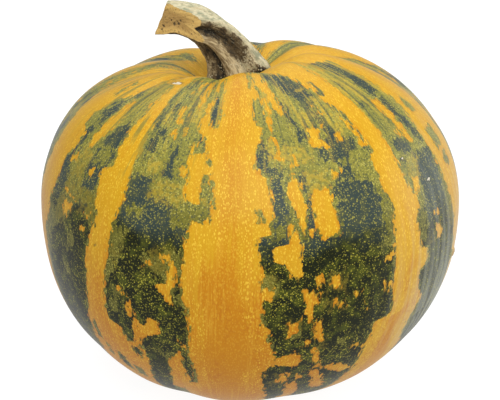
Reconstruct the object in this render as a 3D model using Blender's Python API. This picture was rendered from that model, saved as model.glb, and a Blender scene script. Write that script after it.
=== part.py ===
"""A whole striped pumpkin with its stalk, resting on its underside.

Metres, +Z up. The origin is on the floor, in the middle of the fruit. The front of the fruit
faces -Y, and the stalk bends over towards -X.
"""

import bmesh
import bpy
import numpy as np

# The fruit. Heights are measured from its widest girth.
GIRTH_RADIUS = 0.105
SIDE_SWELL = 0.071
SHOULDER_HEIGHT = 0.0777
BELLY_DEPTH = 0.096
GIRTH_ROUNDNESS = 0.869
SHOULDER_ROUNDNESS = 0.903
BELLY_ROUNDNESS = 0.934
HOLLOW_DEPTH = 0.0151
HOLLOW_RADIUS = 0.0252
HOLLOW_STEEPNESS = 3.0
DIMPLE_DEPTH = 0.006
DIMPLE_RADIUS = 0.020
RIGHT_SHOULDER_RISE = 0.0055
FRONT_SHOULDER_RISE = 0.0044
SHOULDER_RISE_START = 0.010
REST_FLAT = 0.0008

# The ribs, as azimuths of their crests in degrees. 0 is the front and 90 is the right.
RIB_CRESTS = (-175, -145, -108, -74, -40, 1, 48, 80, 115, 150)
RIB_AT_ANGLE = (-90, -78, -60, -30, 0, 35, 60, 78, 90)
RIB_DEPTH = (0.0, 0.0006, 0.0016, 0.0009, 0.0005, 0.0010, 0.0022, 0.0034, 0.0)

# The blossom scar, a low button in the dimple underneath.
SCAR_RADIUS = 0.0045
SCAR_HEIGHT = 0.0012

# The stalk: x, y, height above the widest girth, half height, half depth, and turn in degrees.
STALK_STATIONS = (
    (0.0006, 0.0000, 0.0540, 0.0185, 0.0165, 64),
    (0.0002, 0.0000, 0.0600, 0.0172, 0.0156, 64),
    (-0.0008, 0.0003, 0.0665, 0.0150, 0.0140, 63),
    (-0.0032, 0.0008, 0.0732, 0.0120, 0.0120, 61),
    (-0.0072, 0.0010, 0.0802, 0.0099, 0.0105, 57),
    (-0.0132, 0.0008, 0.0870, 0.0087, 0.0103, 48),
    (-0.0212, 0.0000, 0.0918, 0.0080, 0.0108, 31),
    (-0.0305, -0.0016, 0.0934, 0.0079, 0.0114, 13),
    (-0.0405, -0.0034, 0.0928, 0.0084, 0.0120, 3),
    (-0.0505, -0.0050, 0.0916, 0.0088, 0.0120, 0),
)
STALK_RIDGES = (3, 114, 170, 231, 298)
STALK_GROOVES = (0.65, 0.9, 1.0, 1.0, 1.0)
RIDGE_HEIGHT = 0.20
RIDGE_WIDTH = 0.8

# The slanted cut and the square end of the stalk: a point on both, and the two outward directions.
CUT_POINT = (-0.0417, 0.0034, 0.0840)
SLANT_OUT = (-0.496, -0.867, -0.052)
END_OUT = (-0.934, 0.125, 0.335)
FOOT_GAP = 0.0003

# How finely each surface is drawn.
FRUIT_SECTORS = 100
FRUIT_RINGS = 46
STALK_SIDES = 45
STALK_RINGS = 30

FRUIT_COLOUR = (0.62, 0.36, 0.05, 1.0)
STALK_COLOUR = (0.42, 0.32, 0.18, 1.0)


def signed_power(value, power):
    """The value raised to a power, keeping its sign."""
    return np.sign(value) * np.abs(value) ** power


def place_between(angle, crests):
    """How far each angle is along the list of crests, so that whole numbers are crests."""
    start = crests[0]
    edges = np.append(crests, start + 360.0)
    return np.interp(np.mod(angle - start, 360.0) + start, edges, np.arange(len(edges)))


def rib_valley(azimuth):
    """0 on a rib's crest and 1 in the groove between two, pinched towards the groove."""
    place = place_between(np.degrees(azimuth), RIB_CRESTS)
    return 1.0 - np.sqrt(np.cos(np.pi * place) ** 2 * 0.94 + 0.06) * 1.03 + 0.03


def fruit_points(azimuth, angle, lift):
    """Points of the skin, moved outwards by lift, with heights from the widest girth."""
    sine = np.sin(angle)
    reach = GIRTH_RADIUS * (1.0 + SIDE_SWELL * np.sin(azimuth))
    radius = reach * signed_power(np.cos(angle), GIRTH_ROUNDNESS)
    above = SHOULDER_HEIGHT * signed_power(sine, SHOULDER_ROUNDNESS)
    above = above - HOLLOW_DEPTH * np.exp(-((radius / HOLLOW_RADIUS) ** HOLLOW_STEEPNESS))
    rise = RIGHT_SHOULDER_RISE * np.sin(azimuth) + FRONT_SHOULDER_RISE * np.cos(azimuth)
    rise = rise * (1.0 - np.exp(-((radius / SHOULDER_RISE_START) ** 2)))
    above = above + rise * np.clip(sine, 0.0, 1.0) ** 2
    below = BELLY_DEPTH * signed_power(sine, BELLY_ROUNDNESS)
    below = below + DIMPLE_DEPTH * np.exp(-((radius / reach * GIRTH_RADIUS / DIMPLE_RADIUS) ** 2))
    below = below - SCAR_HEIGHT * np.exp(-((radius / SCAR_RADIUS) ** 4))
    height = np.where(sine > 0.0, above, below)
    depth = np.interp(np.degrees(angle), RIB_AT_ANGLE, RIB_DEPTH) * rib_valley(azimuth)
    distance = np.sqrt(radius**2 + height**2)
    scale = 1.0 + (lift - depth) / distance
    x = radius * np.sin(azimuth) * scale - SIDE_SWELL * GIRTH_RADIUS
    return np.stack([x, -radius * np.cos(azimuth) * scale, height * scale], axis=-1)


def fruit_grid(lift):
    """Rings of points from the underside to the top, and the two points that close them."""
    azimuth = np.linspace(-np.pi, np.pi, FRUIT_SECTORS, endpoint=False)
    angle = np.linspace(-np.pi / 2.0, np.pi / 2.0, FRUIT_RINGS + 1)[1:-1]
    rings = fruit_points(azimuth[None, :], angle[:, None], lift)
    ends = fruit_points(np.zeros(2), np.array([-np.pi / 2.0, np.pi / 2.0]), lift)
    return rings, ends[0], ends[1]


def floor_height():
    """The height of the floor: just above the lowest ring, so that a flat patch rests on it."""
    rings, _, _ = fruit_grid(0.0)
    return rings[..., 2].min() + REST_FLAT


def closed_mesh(name, rings, first, last):
    """A closed mesh through rings of points, with a point at each end."""
    count, sides, _ = rings.shape
    points = np.vstack([rings.reshape(-1, 3), first, last])
    row = np.arange(sides)
    after = np.roll(row, -1)
    faces = []
    for ring in range(count - 1):
        low = ring * sides
        high = low + sides
        faces += np.stack([low + row, low + after, high + after, high + row], axis=1).tolist()
    faces += np.stack([np.full(sides, count * sides), after, row], axis=1).tolist()
    top = (count - 1) * sides
    faces += np.stack([top + row, top + after, np.full(sides, count * sides + 1)], axis=1).tolist()
    mesh = bpy.data.meshes.new(name)
    mesh.from_pydata(points.tolist(), [], faces)
    return mesh


def add_object(name, mesh):
    """An object for this mesh in the scene, with its faces outwards."""
    shape = bmesh.new()
    shape.from_mesh(mesh)
    bmesh.ops.recalc_face_normals(shape, faces=shape.faces)
    shape.to_mesh(mesh)
    shape.free()
    made = bpy.data.objects.new(name, mesh)
    bpy.context.scene.collection.objects.link(made)
    return made


def add_fruit(name, lift, rest_flat):
    """The fruit, or a copy grown by lift. Its lowest ring is flattened onto the floor."""
    floor = floor_height()
    rings, bottom, top = fruit_grid(lift)
    offset = np.array([0.0, 0.0, floor])
    rings = rings - offset
    if rest_flat:
        rings[..., 2] = np.maximum(rings[..., 2], 0.0)
    return add_object(name, closed_mesh(name, rings, bottom - offset, top - offset))


def through_stations(stations, count):
    """A smooth run through the stations, with the ends carried on straight."""
    table = np.array(stations)
    table = np.vstack([2 * table[0] - table[1], table, 2 * table[-1] - table[-2]])
    place = np.linspace(0.0, len(stations) - 1.0, count)
    index = np.minimum(place.astype(int), len(stations) - 2)
    part = (place - index)[:, None]
    before, here, there, after = (table[index + step] for step in range(4))
    slope = there - before
    bend = 2 * before - 5 * here + 4 * there - after
    twist = 3 * here - before - 3 * there + after
    return 0.5 * (2 * here + slope * part + bend * part**2 + twist * part**3)


def ridge_height(angle):
    """1 on a ridge of the stalk and down to 0 in a groove, by how deep that groove is."""
    place = place_between(angle, STALK_RIDGES)
    groove = np.array(STALK_GROOVES)[np.minimum(place.astype(int), len(STALK_GROOVES) - 1)]
    crest = ((1.0 + np.cos(2.0 * np.pi * place)) / 2.0) ** RIDGE_WIDTH
    return 1.0 - groove * (1.0 - crest)


def unit(vectors):
    """The vectors, each with length 1."""
    return vectors / np.linalg.norm(vectors, axis=-1, keepdims=True)


def stalk_rings():
    """Rings of points along the stalk, with heights from the fruit's widest girth."""
    run = through_stations(STALK_STATIONS, STALK_RINGS)
    path = run[:, :3]
    along = unit(np.gradient(path, axis=0))
    outer = unit(np.cross(along, np.array([0.0, -1.0, 0.0])))
    front = np.cross(outer, along)
    own = np.linspace(0.0, 360.0, STALK_SIDES, endpoint=False)
    angle = np.radians(own[None, :] + run[:, 5:6])
    swell = 1.0 + RIDGE_HEIGHT * (2.0 * ridge_height(own)[None, :] - 1.0)
    forward = (swell * np.cos(angle) * run[:, 4:5])[..., None] * front[:, None, :]
    upward = (swell * np.sin(angle) * run[:, 3:4])[..., None] * outer[:, None, :]
    return path[:, None, :] + forward + upward


def cut_off(mesh, point, outward):
    """Cuts the mesh along a plane, drops what is outside it and closes the cut."""
    shape = bmesh.new()
    shape.from_mesh(mesh)
    everything = list(shape.verts) + list(shape.edges) + list(shape.faces)
    cut = bmesh.ops.bisect_plane(
        shape, geom=everything, dist=0.00001, plane_co=point, plane_no=outward, clear_outer=True
    )
    edges = [item for item in cut["geom_cut"] if isinstance(item, bmesh.types.BMEdge)]
    bmesh.ops.holes_fill(shape, edges=edges, sides=0)
    bmesh.ops.recalc_face_normals(shape, faces=shape.faces)
    shape.to_mesh(mesh)
    shape.free()


def add_stalk(name):
    """The stalk, cut on a slant and squarely at its free end, and fitted onto the fruit."""
    offset = np.array([-SIDE_SWELL * GIRTH_RADIUS, 0.0, -floor_height()])
    rings = stalk_rings() + offset
    mesh = closed_mesh(name, rings, rings[0].mean(axis=0), rings[-1].mean(axis=0))
    stalk = add_object(name, mesh)
    point = tuple(np.array(CUT_POINT) + offset)
    cut_off(stalk.data, point, SLANT_OUT)
    cut_off(stalk.data, point, END_OUT)
    foot = add_fruit("foot_cutter", FOOT_GAP, False)
    foot.hide_render = True
    foot.display_type = "WIRE"
    trim = stalk.modifiers.new("foot", "BOOLEAN")
    trim.operation = "DIFFERENCE"
    trim.solver = "EXACT"
    trim.object = foot
    return stalk


def colour(target, name, base_colour, roughness):
    """Gives the object its own material."""
    material = bpy.data.materials.new(name)
    material.use_nodes = True
    shader = material.node_tree.nodes["Principled BSDF"]
    shader.inputs["Base Color"].default_value = base_colour
    shader.inputs["Roughness"].default_value = roughness
    target.data.materials.append(material)
    target.data.shade_smooth()
    target.data.set_sharp_from_angle(angle=np.radians(50.0))


def main():
    """Clears the scene and builds the pumpkin."""
    for old in list(bpy.data.objects):
        bpy.data.objects.remove(old, do_unlink=True)
    colour(add_fruit("fruit", 0.0, True), "rind", FRUIT_COLOUR, 0.35)
    colour(add_stalk("stem"), "stalk", STALK_COLOUR, 0.8)


main()
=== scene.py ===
# %% [markdown]
# # A striped pumpkin
#
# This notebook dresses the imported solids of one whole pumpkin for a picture: a ribbed fruit with
# orange stripes over the ribs and blotched green between them, and the dry stalk it grew on.
# All lengths are in metres, +Z is up, and the front of the fruit faces -Y.

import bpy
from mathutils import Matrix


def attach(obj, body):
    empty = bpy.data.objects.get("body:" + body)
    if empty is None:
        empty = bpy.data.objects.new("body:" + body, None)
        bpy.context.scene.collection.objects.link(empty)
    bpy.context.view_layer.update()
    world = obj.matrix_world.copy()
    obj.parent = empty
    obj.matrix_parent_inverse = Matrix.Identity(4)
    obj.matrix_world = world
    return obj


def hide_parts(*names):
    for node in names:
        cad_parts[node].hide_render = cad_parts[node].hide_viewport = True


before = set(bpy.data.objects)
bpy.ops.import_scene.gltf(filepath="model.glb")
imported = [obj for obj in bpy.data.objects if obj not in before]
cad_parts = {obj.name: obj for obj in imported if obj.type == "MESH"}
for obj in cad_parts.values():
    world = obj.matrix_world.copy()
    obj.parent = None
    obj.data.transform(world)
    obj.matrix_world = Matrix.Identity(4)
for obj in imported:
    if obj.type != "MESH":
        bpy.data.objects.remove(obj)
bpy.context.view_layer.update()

import bpy
import numpy as np
from mathutils import Matrix, Vector

# %% [markdown]
# ## The skin of the fruit
#
# A pumpkin swells between the ribs that its veins hold back, so its shape is a squat barrel with
# ten shallow furrows that run from the stalk to the blossom end. It could be sculpted, but a formula
# is better here: the same two numbers, how far round and how far up, then also say where every
# stripe and blotch lies, because the stripes grow along the ribs.

# %% Sizes of the fruit
GIRTH_RADIUS = 0.105
SIDE_SWELL = 0.071
SHOULDER_HEIGHT = 0.0777
BELLY_DEPTH = 0.096
GIRTH_ROUNDNESS = 0.869
SHOULDER_ROUNDNESS = 0.903
BELLY_ROUNDNESS = 0.934
HOLLOW_DEPTH = 0.0151
HOLLOW_RADIUS = 0.0252
HOLLOW_STEEPNESS = 3
DIMPLE_DEPTH = 0.006
DIMPLE_RADIUS = 0.020
RIGHT_SHOULDER_RISE = 0.0055
FRONT_SHOULDER_RISE = 0.0044
SHOULDER_RISE_START = 0.010
SCAR_HEIGHT = 0.0012
SCAR_RADIUS = 0.0045
REST_FLAT = 0.0008
CORE = -SIDE_SWELL * GIRTH_RADIUS
RIB_CRESTS = (-175, -145, -108, -74, -40, 1, 48, 80, 115, 150)
RIB_AT_ANGLE = (-90, -78, -60, -30, 0, 35, 60, 78, 90)
RIB_DEPTH = (0.0, 0.0006, 0.0016, 0.0009, 0.0005, 0.0010, 0.0022, 0.0034, 0.0)


# %% Which rib a point is on
def signed_power(value, power):
    """The value raised to a power, keeping its sign."""
    return np.sign(value) * np.abs(value) ** power


def place_between(angle, crests):
    """How far an angle is along a list of crests: whole numbers are crests, halves are furrows."""
    edges = np.append(crests, crests[0] + 360.0)
    return np.interp(np.mod(angle - crests[0], 360.0) + crests[0], edges, np.arange(len(edges)))


def rib_valley(azimuth):
    """0 on a crest and 1 in a furrow: one less the root of a squared cosine, so furrows pinch."""
    place = place_between(np.degrees(azimuth), RIB_CRESTS)
    return 1.0 - np.sqrt(np.cos(np.pi * place) ** 2 * 0.94 + 0.06) * 1.03 + 0.03


# %% The skin as a function of two angles
def skin_height(azimuth, sine, radius):
    """Height above the girth.

    Above it, a rounded shoulder less a bell-shaped hollow for the stalk, tipped up a little to the
    right and the front. Below it, a rounded belly, with a bell-shaped dimple around a small button.
    """
    above = SHOULDER_HEIGHT * signed_power(sine, SHOULDER_ROUNDNESS)
    above = above - HOLLOW_DEPTH * np.exp(-((radius / HOLLOW_RADIUS) ** HOLLOW_STEEPNESS))
    tip = RIGHT_SHOULDER_RISE * np.sin(azimuth) + FRONT_SHOULDER_RISE * np.cos(azimuth)
    tip = tip * (1.0 - np.exp(-((radius / SHOULDER_RISE_START) ** 2)))
    above = above + tip * np.clip(sine, 0.0, 1.0) ** 2
    round_radius = radius / (1.0 + SIDE_SWELL * np.sin(azimuth))
    below = BELLY_DEPTH * signed_power(sine, BELLY_ROUNDNESS)
    below = below + DIMPLE_DEPTH * np.exp(-((round_radius / DIMPLE_RADIUS) ** 2))
    below = below - SCAR_HEIGHT * np.exp(-((radius / SCAR_RADIUS) ** 4))
    return np.where(sine > 0.0, above, below)


def skin_points(azimuth, angle, dent=0.0):
    """Points of the skin.

    The radius is the cosine of the angle raised to a power under 1, which makes the side fuller
    than a ball's, times a reach that is longer on the right. Each point then moves towards the
    middle of the fruit by the furrow's depth and by the dent.
    """
    reach = GIRTH_RADIUS * (1.0 + SIDE_SWELL * np.sin(azimuth))
    radius = reach * signed_power(np.cos(angle), GIRTH_ROUNDNESS)
    height = skin_height(azimuth, np.sin(angle), radius)
    depth = np.interp(np.degrees(angle), RIB_AT_ANGLE, RIB_DEPTH) * rib_valley(azimuth) + dent
    scale = 1.0 - depth / np.sqrt(radius**2 + height**2)
    x = radius * np.sin(azimuth) * scale + CORE
    return np.stack([x, -radius * np.cos(azimuth) * scale, height * scale], axis=-1)


# %% The floor, as the solids have it: just above the lowest ring of a coarse grid
ROUND = np.radians(np.linspace(-180, 180, 100, endpoint=False))
UP = np.radians(np.linspace(-90, 90, 47)[1:-1])
FLOOR = skin_points(ROUND[None, :], UP[:, None])[..., 2].min() + REST_FLAT
print("the girth is", round(-FLOOR * 1000, 1), "mm above the floor")

# %% The fine grid of the skin
SECTORS = 420
RINGS = 235
azimuth = np.linspace(-180.0, 180.0, SECTORS, endpoint=False)[None, :]
angle = np.linspace(-90.0, 90.0, RINGS + 2)[1:-1, None]
print("skin grid:", RINGS, "rings of", SECTORS)


# %% [markdown]
# ## Small faults of the skin
#
# No real skin is as even as a formula. It has broad, barely visible dents where it lay against
# leaves, and this one has a pale, dented streak on its left shoulder, a few small dry spots
# and a knob at its right side. All but the knob go into the shape as dents, and the knob stays inside
# the solid's greatest width, so that the fruit keeps the size of its solid.

# %% Dents and scars
SCAR_SPOTS = (
    # around, up, half width and half height in degrees, depth in metres, how much cork it has
    (-44.0, 68.3, 6.5, 1.1, 0.0009, 0.85),
    (-40.2, 4.0, 0.9, 0.6, 0.0004, 0.5),
    (54.0, 33.0, 0.9, 0.6, 0.0002, 0.9),
    (61.7, 22.8, 1.1, 0.8, 0.0002, 0.9),
    (74.0, -6.0, 1.8, 1.3, -0.0012, 0.35),
    (58.0, -19.0, 2.4, 0.9, 0.0004, 0.35),
    (13.9, 17.8, 0.22, 2.0, 0.0001, 0.62),
)


def spot(around, up, half_width, half_height):
    """1 in the middle of an oval spot, falling steeply to 0 at its edge: a bell with a flat top."""
    apart = ((azimuth - around) / half_width) ** 2 + ((angle - up) / half_height) ** 2
    return np.exp(-(apart**2))


def broad_dents():
    """Slow dents of up to half a millimetre: three sines of the two angles, multiplied."""
    a, t = np.radians(azimuth), np.radians(angle)
    waves = np.sin(5 * a + 3 * np.sin(3 * t)) * np.sin(4 * t + 2 * np.sin(2 * a))
    waves = waves + 0.6 * np.sin(11 * a + 2 * np.sin(5 * t + 1)) * np.sin(9 * t + np.sin(3 * a))
    return 0.00018 * (waves + 1.6) * np.cos(t) ** 2


dent = broad_dents()
for around, up, half_width, half_height, depth, _ in SCAR_SPOTS:
    dent = dent + depth * spot(around, up, half_width, half_height)
print("deepest dent:", round(dent.max() * 1000, 2), "mm")


# %% [markdown]
# ## Meshes from grids
#
# Both pieces are closed surfaces over a grid of rings, so one helper makes them. The whole grid is
# numbered at once as arrays, and a point at each end closes the last ring as a fan.

# %% A closed mesh over rings of points
def closed_mesh(name, rings, first, last):
    """Quads join each ring to the next, and a fan of triangles joins each end ring to its point."""
    count, sides, _ = rings.shape
    row = np.arange(sides)
    after = np.roll(row, -1)
    low = np.arange(count - 1)[:, None] * sides
    corners = [low + row, low + after, low + sides + after, low + sides + row]
    quads = np.stack(corners, axis=-1).reshape(-1, 4)
    start = np.stack([np.full(sides, count * sides), after, row], axis=1)
    top = (count - 1) * sides
    end = np.stack([top + row, top + after, np.full(sides, count * sides + 1)], axis=1)
    points = np.vstack([rings.reshape(-1, 3), first, last])
    mesh = bpy.data.meshes.new(name)
    mesh.from_pydata(points.tolist(), [], quads.tolist() + start.tolist() + end.tolist())
    mesh.shade_smooth()
    return mesh


def keep(mesh, name, values, first, last):
    """Keeps a number or a place for each point of the mesh, in the order of closed_mesh."""
    kind, field, size = ("FLOAT_VECTOR", "vector", 3) if np.ndim(first) else ("FLOAT", "value", 1)
    held = mesh.attributes.new(name, kind, "POINT")
    rows = np.vstack([values.reshape(-1, size), first, last])
    held.data.foreach_set(field, rows.astype(np.float32).ravel())


def show(name, mesh, node):
    """Puts a piece in the scene. It stands for its solid and rides with the whole pumpkin."""
    piece = bpy.data.objects.new(name, mesh)
    bpy.context.scene.collection.objects.link(piece)
    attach(piece, "root")
    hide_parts(node)
    print(name, "has", len(mesh.polygons), "faces")


# %% The fruit's surface
rings = skin_points(np.radians(azimuth), np.radians(angle), dent)
rings[..., 2] = np.maximum(rings[..., 2] - FLOOR, 0.0)
poles = skin_points(np.zeros(2), np.radians([-90.0, 90.0])) - [0.0, 0.0, FLOOR]
fruit_mesh = closed_mesh("pumpkin_skin", rings, poles[0], poles[1])
show("pumpkin_skin", fruit_mesh, "fruit")

# %% [markdown]
# ## Where the colours lie
#
# The colour of each small patch of skin is settled when it is a few cells big, and growth stretches
# the patches along the ribs into stripes and blocky blotches. So each patch is described as a strip:
# at a few heights, how far round its left and right edges are. One number a point then says how far
# inside the nearest patch it is. It could be painted by hand, but a distance keeps its edge crisp at
# any size, and the paint can fray that edge with a fine grain.

# %% How far inside a patch
MM_A_DEGREE_UP = 1.65
MM_A_DEGREE_AND_METRE = 17.45
FAR_OUTSIDE = -50.0


def inside_strip(rows):
    """Millimetres inside a strip, negative outside.

    It is the least of the distances to its left edge, right edge, top and bottom. The edges run
    straight from one row (up, left, right) to the next.
    """
    table = np.array(sorted(rows), dtype=float)
    left = np.interp(angle, table[:, 0], table[:, 1])
    right = np.interp(angle, table[:, 0], table[:, 2])
    mm_a_degree = np.cos(np.radians(angle)) ** GIRTH_ROUNDNESS * GIRTH_RADIUS * MM_A_DEGREE_AND_METRE
    middle = (left + right) / 2.0
    apart = np.abs(np.mod(azimuth - middle + 180.0, 360.0) - 180.0)
    across = ((right - left) / 2.0 - apart) * mm_a_degree
    upward = np.minimum(angle - table[0, 0], table[-1, 0] - angle) * MM_A_DEGREE_UP
    return np.minimum(across, upward)


def inside_any(strips):
    """Millimetres inside the patch that holds the point deepest."""
    deepest = np.full((RINGS, SECTORS), FAR_OUTSIDE)
    for rows in strips:
        deepest = np.maximum(deepest, inside_strip(rows))
    return deepest


# %% The orange stripes over the ribs that face the front: rows of (up, left edge, right edge)
STRIPES = (
    ((91, -30, 30), (76, -11, 5), (72, -13, 5.8), (70, -12, 10), (66, -9.4, 10), (63, -9, 10),
     (62, -12.6, 9), (61.4, -13, 6.4), (60, -14, 6), (55, -14.6, 6.6), (52, -14.8, 7.2),
     (51.4, -14.8, 9.2), (49.6, -14.6, 9), (47, -11.6, 8), (45, -10.5, 7), (42, -10, 5.9),
     (41.4, -14.8, 5.8), (37, -14.8, 6.2), (35.4, -14.7, 6.8), (34.4, -14.6, 9.6), (30, -14.5, 9.8),
     (26.6, -14.4, 9.9), (25, -12, 10), (24, -11, 10.2), (21, -11, 10.4), (20.4, -11, 9),
     (16.6, -11.6, 9.8), (16, -11.8, 6), (12, -12.5, 6), (10, -12.6, 6.6), (5, -13, 7),
     (0, -13.4, 7), (-3, -13.2, 7.3), (-5, -12.2, 7.5), (-6, -11.5, 7.6), (-10, -11.4, 8),
     (-10.8, -11.4, 9.4), (-12.6, -11.2, 9.8), (-14.6, -11.2, 9.2), (-16, -11.2, 10),
     (-20.4, -12, 11.2), (-21.4, -12, 12.8), (-25, -11.4, 12), (-28, -10.8, 10), (-28.8, -10.7, 8.8),
     (-33, -10.3, 9.2), (-37, -10.5, 10.4), (-39, -14, 11), (-46, -17, 13), (-55, -17, 14),
     (-78, -14, 15), (-91, -30, 30)),
    ((91, -60, -20), (75, -60, -34), (68, -58, -35), (66.5, -41.5, -35), (60, -41.6, -35.5),
     (55, -42, -33.5), (35, -41.3, -33.2), (31, -41, -33), (29, -44, -33), (24, -43.5, -32.5),
     (19, -42.6, -33.2), (15, -41.8, -34.2), (10, -41.5, -35), (5, -42.5, -35.3), (0, -43.5, -35.6),
     (-5, -44, -36.4), (-10, -44.3, -37), (-16.5, -45, -37), (-18.5, -46.3, -32.5),
     (-21, -47, -31), (-24, -47, -26.5), (-31, -47.5, -25.5), (-36, -48.5, -26.5), (-43, -51, -29),
     (-60, -50, -32), (-91, -60, -20)),
    ((91, 10, 60), (85, 14, 60), (82, 16, 52), (76, 22, 48.5), (73, 27.5, 47.4), (70, 32, 47),
     (66, 36, 47.5), (62, 37.2, 50.5), (58, 38.5, 51.3), (54, 42, 51), (50, 43, 51),
     (45, 44.2, 51.3), (38, 44.3, 51.2),
     (36.3, 42, 51.2), (31, 42.6, 51.3), (26, 42.2, 51.6), (23, 43.6, 52), (20.5, 44, 54),
     (17, 44, 54), (14.5, 43.3, 52), (10, 42.8, 52), (4, 43, 52.6), (2.5, 43.2, 55.6),
     (-0.5, 43, 56), (-2.5, 43, 52), (-7, 43.3, 52.6), (-10, 43.8, 54.6), (-12.8, 43.6, 56),
     (-13.6, 38.2, 55), (-19, 39, 52.2), (-22, 37.6, 52.6), (-30, 38.2, 56), (-42, 37.5, 57),
     (-60, 35, 55), (-91, 20, 60)),
    ((91, -110, -60), (76, -100, -60), (70, -98, -59), (66, -97, -57.6), (62, -96, -60.3),
     (56, -93, -61.5), (53, -91, -66), (46, -88, -66.6), (44, -87, -69), (39, -84, -68.2),
     (37, -82, -63), (30, -80, -63), (26, -79, -65), (20, -79, -64.8), (12, -80, -66),
     (4, -80, -67), (-2, -79, -70), (-20, -80, -69), (-50, -82, -66), (-91, -110, -60)),
    ((91, 60, 110), (74, 62, 104), (70, 73, 97), (60, 74.4, 94), (50, 73.6, 92), (42, 71.6, 90),
     (35, 70.2, 88), (22, 70, 86), (14, 71.4, 84), (4, 72.5, 83), (-10, 73, 84), (-40, 73, 88),
     (-91, 60, 110)),
)
print(len(STRIPES), "stripes over the front ribs")

# %% Orange bits among the green, in the same rows
ORANGE_BITS = (
    # between the middle stripe and the right one, from the top down
    ((75, 8, 15), (71, 9.5, 16), (67, 10, 17), (64, 13.6, 17.8), (60, 14.8, 18.6), (55, 17, 19.2)),
    ((0.3, 6.6, 10.4), (-0.9, 6.6, 11.2), (-2.3, 6.8, 9.4)), ((61.3, 11.2, 14), (51, 11.6, 13.2)),
    ((51, 12.2, 13), (40, 13, 14)), ((41, 18.2, 20), (37.6, 17, 19.6)),
    ((35, 15.6, 17), (31, 15, 18.6), (26, 15, 19), (24, 16, 19), (19, 17, 18.6), (16, 18, 19.6)),
    ((29.6, 22, 26.4), (24, 20.6, 26.8), (18, 21.2, 27.2), (15, 22.6, 27.2)),
    ((49.6, 25.4, 31), (47, 25.2, 29), (42.8, 25.6, 30.8)),
    ((35.5, 28.4, 31), (32.4, 28.2, 29.6)), ((50.5, 41, 43.2), (41, 41.2, 42.6)),
    ((46.2, 34.8, 36), (44, 34.8, 36)), ((56.6, 33.4, 34.6), (54, 33.4, 34.6)),
    ((20, 13.9, 14.7), (15, 14.2, 16.6), (13.2, 14, 17), (12.9, 9.6, 17), (8.2, 9.9, 17.1),
     (7.4, 12.8, 17.2), (5, 13.6, 17.4), (2.4, 15, 16.4)),
    ((3.6, 20.4, 22.2), (0.2, 21, 22.8)), ((2.2, 25.2, 26.4), (-0.6, 24.6, 27.4)),
    ((-0.6, 17.3, 20), (-1, 17.4, 22), (-3.8, 18.2, 21.4), (-6, 18.6, 20.4), (-10.4, 19.4, 20.6)),
    ((-2.8, 31.4, 33.4), (-4.4, 32, 33.6)), ((6, 40, 41.4), (4.4, 40, 41.6)),
    ((-2, 40.4, 41.8), (-4.4, 40.6, 41.6)), ((-4.2, 26, 28.6), (-5.8, 26.4, 28.8)),
    ((-7, 35, 36.4), (-8.4, 35.2, 36.4)), ((-9.6, 21, 22.6), (-14, 21.6, 23.6), (-17, 23.4, 24.4)),
    ((-16.4, 19, 20.4), (-19, 18.2, 19.8)), ((-9.6, 14.4, 16.2), (-13.8, 15, 16.6)),
    ((-20.8, 16.6, 18.6), (-22, 11, 19), (-24.6, 11, 19.8), (-26.6, 16, 19)),
    ((-20, 33, 35.6), (-22.2, 33.6, 35.4)), ((-19.6, 21.8, 23), (-24, 22.8, 24.6), (-29, 24.4, 26.6)),
    ((-31, 20, 21.4), (-33.6, 20.4, 21.8)), ((-30, 14.6, 17.4), (-35, 13.6, 17)),
    ((-28.4, 27, 33), (-31, 29, 36), (-33, 33, 38)), ((-30, 23.6, 26), (-36, 25.6, 29.4), (-43, 28, 33)),
    ((-36, 17.4, 20), (-42, 18.6, 23), (-60, 20, 25)), ((25.5, 54.6, 57), (22, 53.4, 56)),
    ((52.3, 61.4, 65), (45, 61, 64.6), (36, 62.4, 64)), ((41, 58.6, 61), (39, 59.4, 61.6)),
    ((12.2, 60.4, 63), (10.6, 60.6, 62.6)), ((7.6, 60.4, 62.2), (4, 61, 64)),
    ((80, 50, 56), (72, 50.6, 53)), ((70, 47, 49), (64, 48.6, 50.2)), ((78, 58, 60), (68, 58.6, 60)),
    # between the middle stripe and the left one
    ((73, -14.4, -12), (66, -13.6, -11)), ((71, -19.6, -17), (63, -19.2, -17), (58, -18.4, -16.6)),
    ((58, -26.8, -24), (55, -26, -22.6), (51.4, -24.6, -22.8)), ((49, -24.2, -23), (46, -23.8, -22.6)),
    ((50, -20.2, -18.4), (47.4, -20, -18.4)), ((71, -25.6, -24.2), (65, -25.4, -24)),
    ((36, -18, -15), (33.4, -17.6, -15)), ((45, -15.4, -14), (42, -15.4, -14)),
    ((6.6, -16.4, -15), (1.6, -16.9, -14.9), (-0.8, -17.4, -15.2), (-1.4, -20.2, -15.8), (-3, -19.6, -16),
     (-6, -16.8, -15.4)),
    ((7.4, -18.4, -17), (5.8, -18.6, -17.2)), ((4.8, -23.6, -22.2), (3, -23.6, -22.2)),
    ((-8, -29.8, -28.4), (-10, -30.2, -27.6), (-13, -29.2, -27), (-14, -28.4, -25.6), (-16.4, -27.6, -23.6)),
    ((-5, -31.8, -30), (-6.8, -31.6, -29.8)),
    ((-11.8, -22.4, -20.6), (-14.2, -23.6, -20), (-17, -28.4, -20), (-18.4, -28.6, -23.6),
     (-20.4, -28.8, -26), (-24, -29, -26.6)),
    ((-16.6, -14, -12.6), (-20, -13.8, -13)), ((-22.8, -15.4, -14.4), (-25.2, -16.4, -13.8),
     (-27, -18.4, -14), (-33, -18.6, -13.4), (-46, -21, -12)),
    # outside the left stripe
    ((56, -57.4, -54), (50, -57.3, -51.8), (44, -57.6, -50), (40, -57, -52), (34, -56.8, -53.6)),
    ((28.6, -61.6, -58.8), (26, -61.4, -58.8)), ((27.4, -49.6, -48), (24, -49.4, -48)),
    ((16, -58, -55.6), (14.6, -56, -50)), ((12.6, -57, -52.4), (8, -57, -54)),
    ((13, -46.4, -43.6), (11.4, -46, -43.6)), ((8, -46.6, -45), (6.4, -46.4, -45)),
)
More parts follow.
